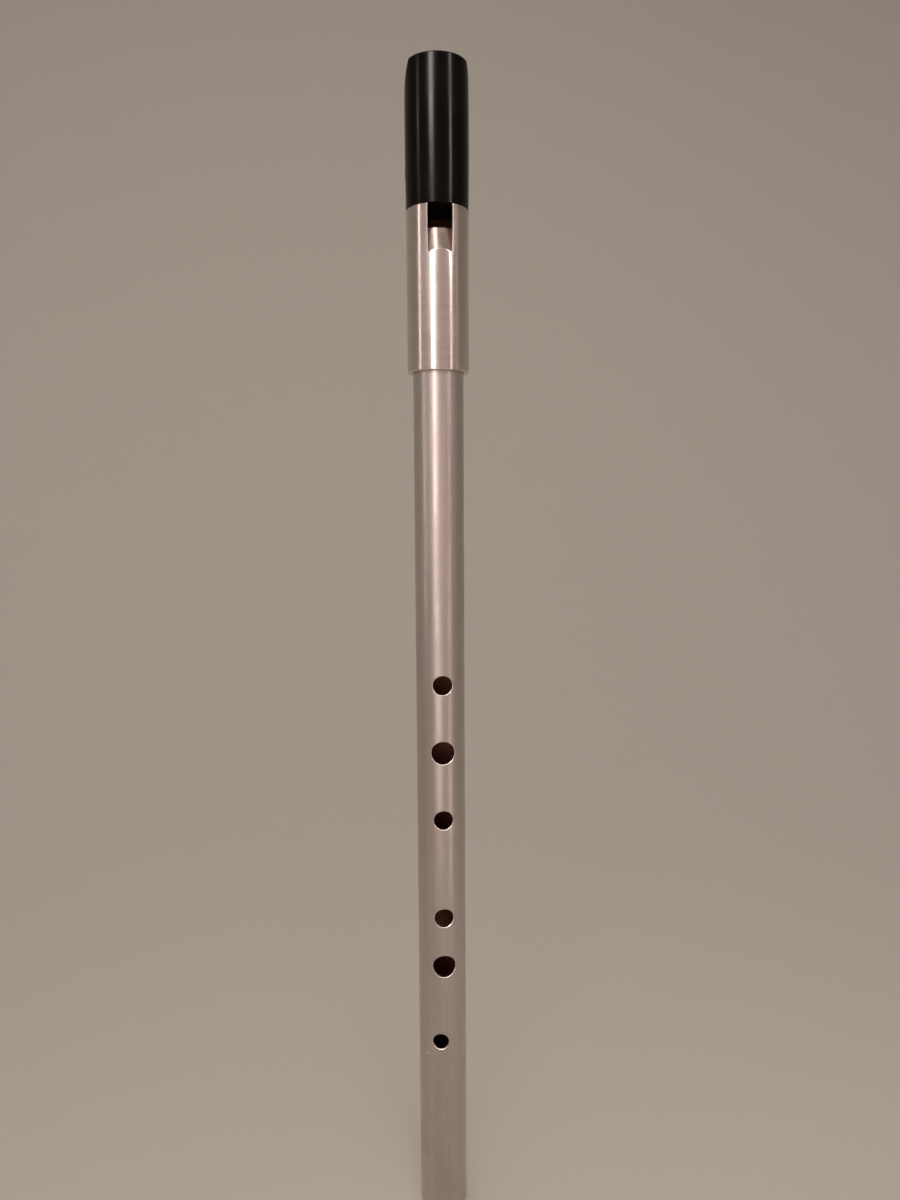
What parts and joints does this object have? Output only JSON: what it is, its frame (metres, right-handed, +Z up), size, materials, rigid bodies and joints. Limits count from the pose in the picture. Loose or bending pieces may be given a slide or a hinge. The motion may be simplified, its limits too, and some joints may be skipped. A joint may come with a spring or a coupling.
{
  "type": "low whistle",
  "caption": "End-blown fipple flute in aluminium with finger holes, a tuning slide and a black beaked mouthpiece.",
  "frame": {"origin": "centre of the foot end of the body tube's bore", "axes": "+Z up the bore's axis to the mouthpiece, the window and the finger holes face -Y, the retaining screw is on -X"},
  "size_m": [0.0316, 0.0316, 0.598],
  "materials": {
    "satin_aluminium": "satin, fine lengthwise grain",
    "polished_aluminium": "polished",
    "drawn_aluminium": "as drawn",
    "turned_acetal": "turned and polished",
    "milled_acetal": "machined",
    "blackened_steel": "black oxide",
    "nitrile_rubber": "matte"
  },
  "bodies": {
    "body": {"body_tube": "satin_aluminium"},
    "slide_rings": {"o_ring_lower": "nitrile_rubber", "o_ring_upper": "nitrile_rubber"},
    "head": {"head_sleeve": "polished_aluminium", "head_tube": "drawn_aluminium", "mouthpiece_barrel": "turned_acetal", "fipple_block": "milled_acetal", "retaining_screw": "blackened_steel"}
  },
  "joints": [
    {"name": "tuning_slide", "type": "slide", "parent": "body", "child": "slide_rings", "axis": [0, 0, 1], "range_m": [-0.0075, 0.05]},
    {"name": "head_turn", "type": "hinge", "parent": "slide_rings", "child": "head", "pos_m": [0, 0, 0.452], "axis": [0, 0, 1], "continuous": true}
  ]
}
